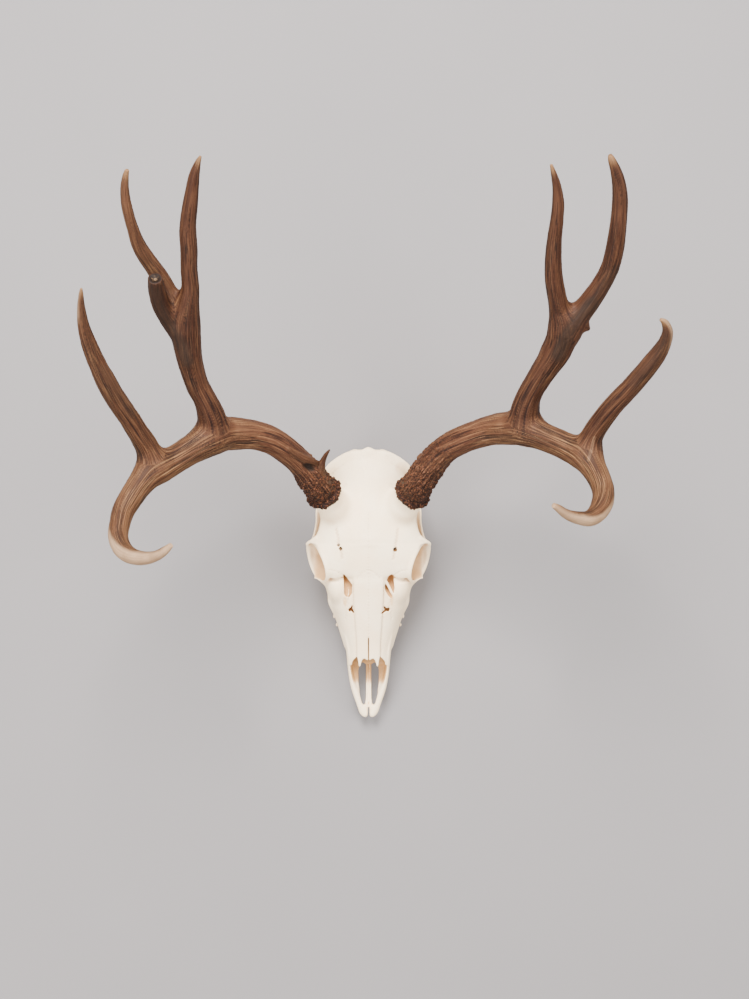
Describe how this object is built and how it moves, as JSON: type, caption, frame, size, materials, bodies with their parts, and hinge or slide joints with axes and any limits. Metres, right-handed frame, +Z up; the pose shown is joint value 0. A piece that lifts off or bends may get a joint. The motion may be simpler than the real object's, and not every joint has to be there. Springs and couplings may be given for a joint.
{
  "type": "mule deer skull",
  "caption": "Bleached mule deer skull without its lower jaw, with wide brown forked antlers, lying on its cheek teeth and two rear spurs.",
  "frame": {"origin": "under the middle of the whole object's box, on the surface that it rests on", "axes": "+X across the head to the right-hand antler in the picture, -Y to the nose, +Z up, away from the chewing faces"},
  "size_m": [0.5202, 0.5215, 0.4049],
  "materials": {
    "bone": "dry, bleached ivory bone, matte with a faint sheen on the smooth parts",
    "enamel": "worn, half-gloss tooth enamel, stained cream",
    "antler": "grooved dark brown antler with paler ridges and ivory tips"
  },
  "bodies": {
    "root": {"skull": "bone", "left_premolar_2": "enamel", "left_premolar_3": "enamel", "left_premolar_4": "enamel", "left_molar_1": "enamel", "left_molar_2": "enamel", "left_molar_3": "enamel", "right_premolar_2": "enamel", "right_premolar_3": "enamel", "right_premolar_4": "enamel", "right_molar_1": "enamel", "right_molar_2": "enamel", "right_molar_3": "enamel", "left_antler_beam": "antler", "left_antler_front_branch": "antler", "left_antler_front_tine": "antler", "left_antler_rear_branch": "antler", "left_antler_rear_outer_tine": "antler", "right_antler_beam": "antler", "right_antler_front_branch": "antler", "right_antler_front_tine": "antler", "right_antler_rear_branch": "antler", "right_antler_rear_outer_tine": "antler"}
  },
  "joints": []
}
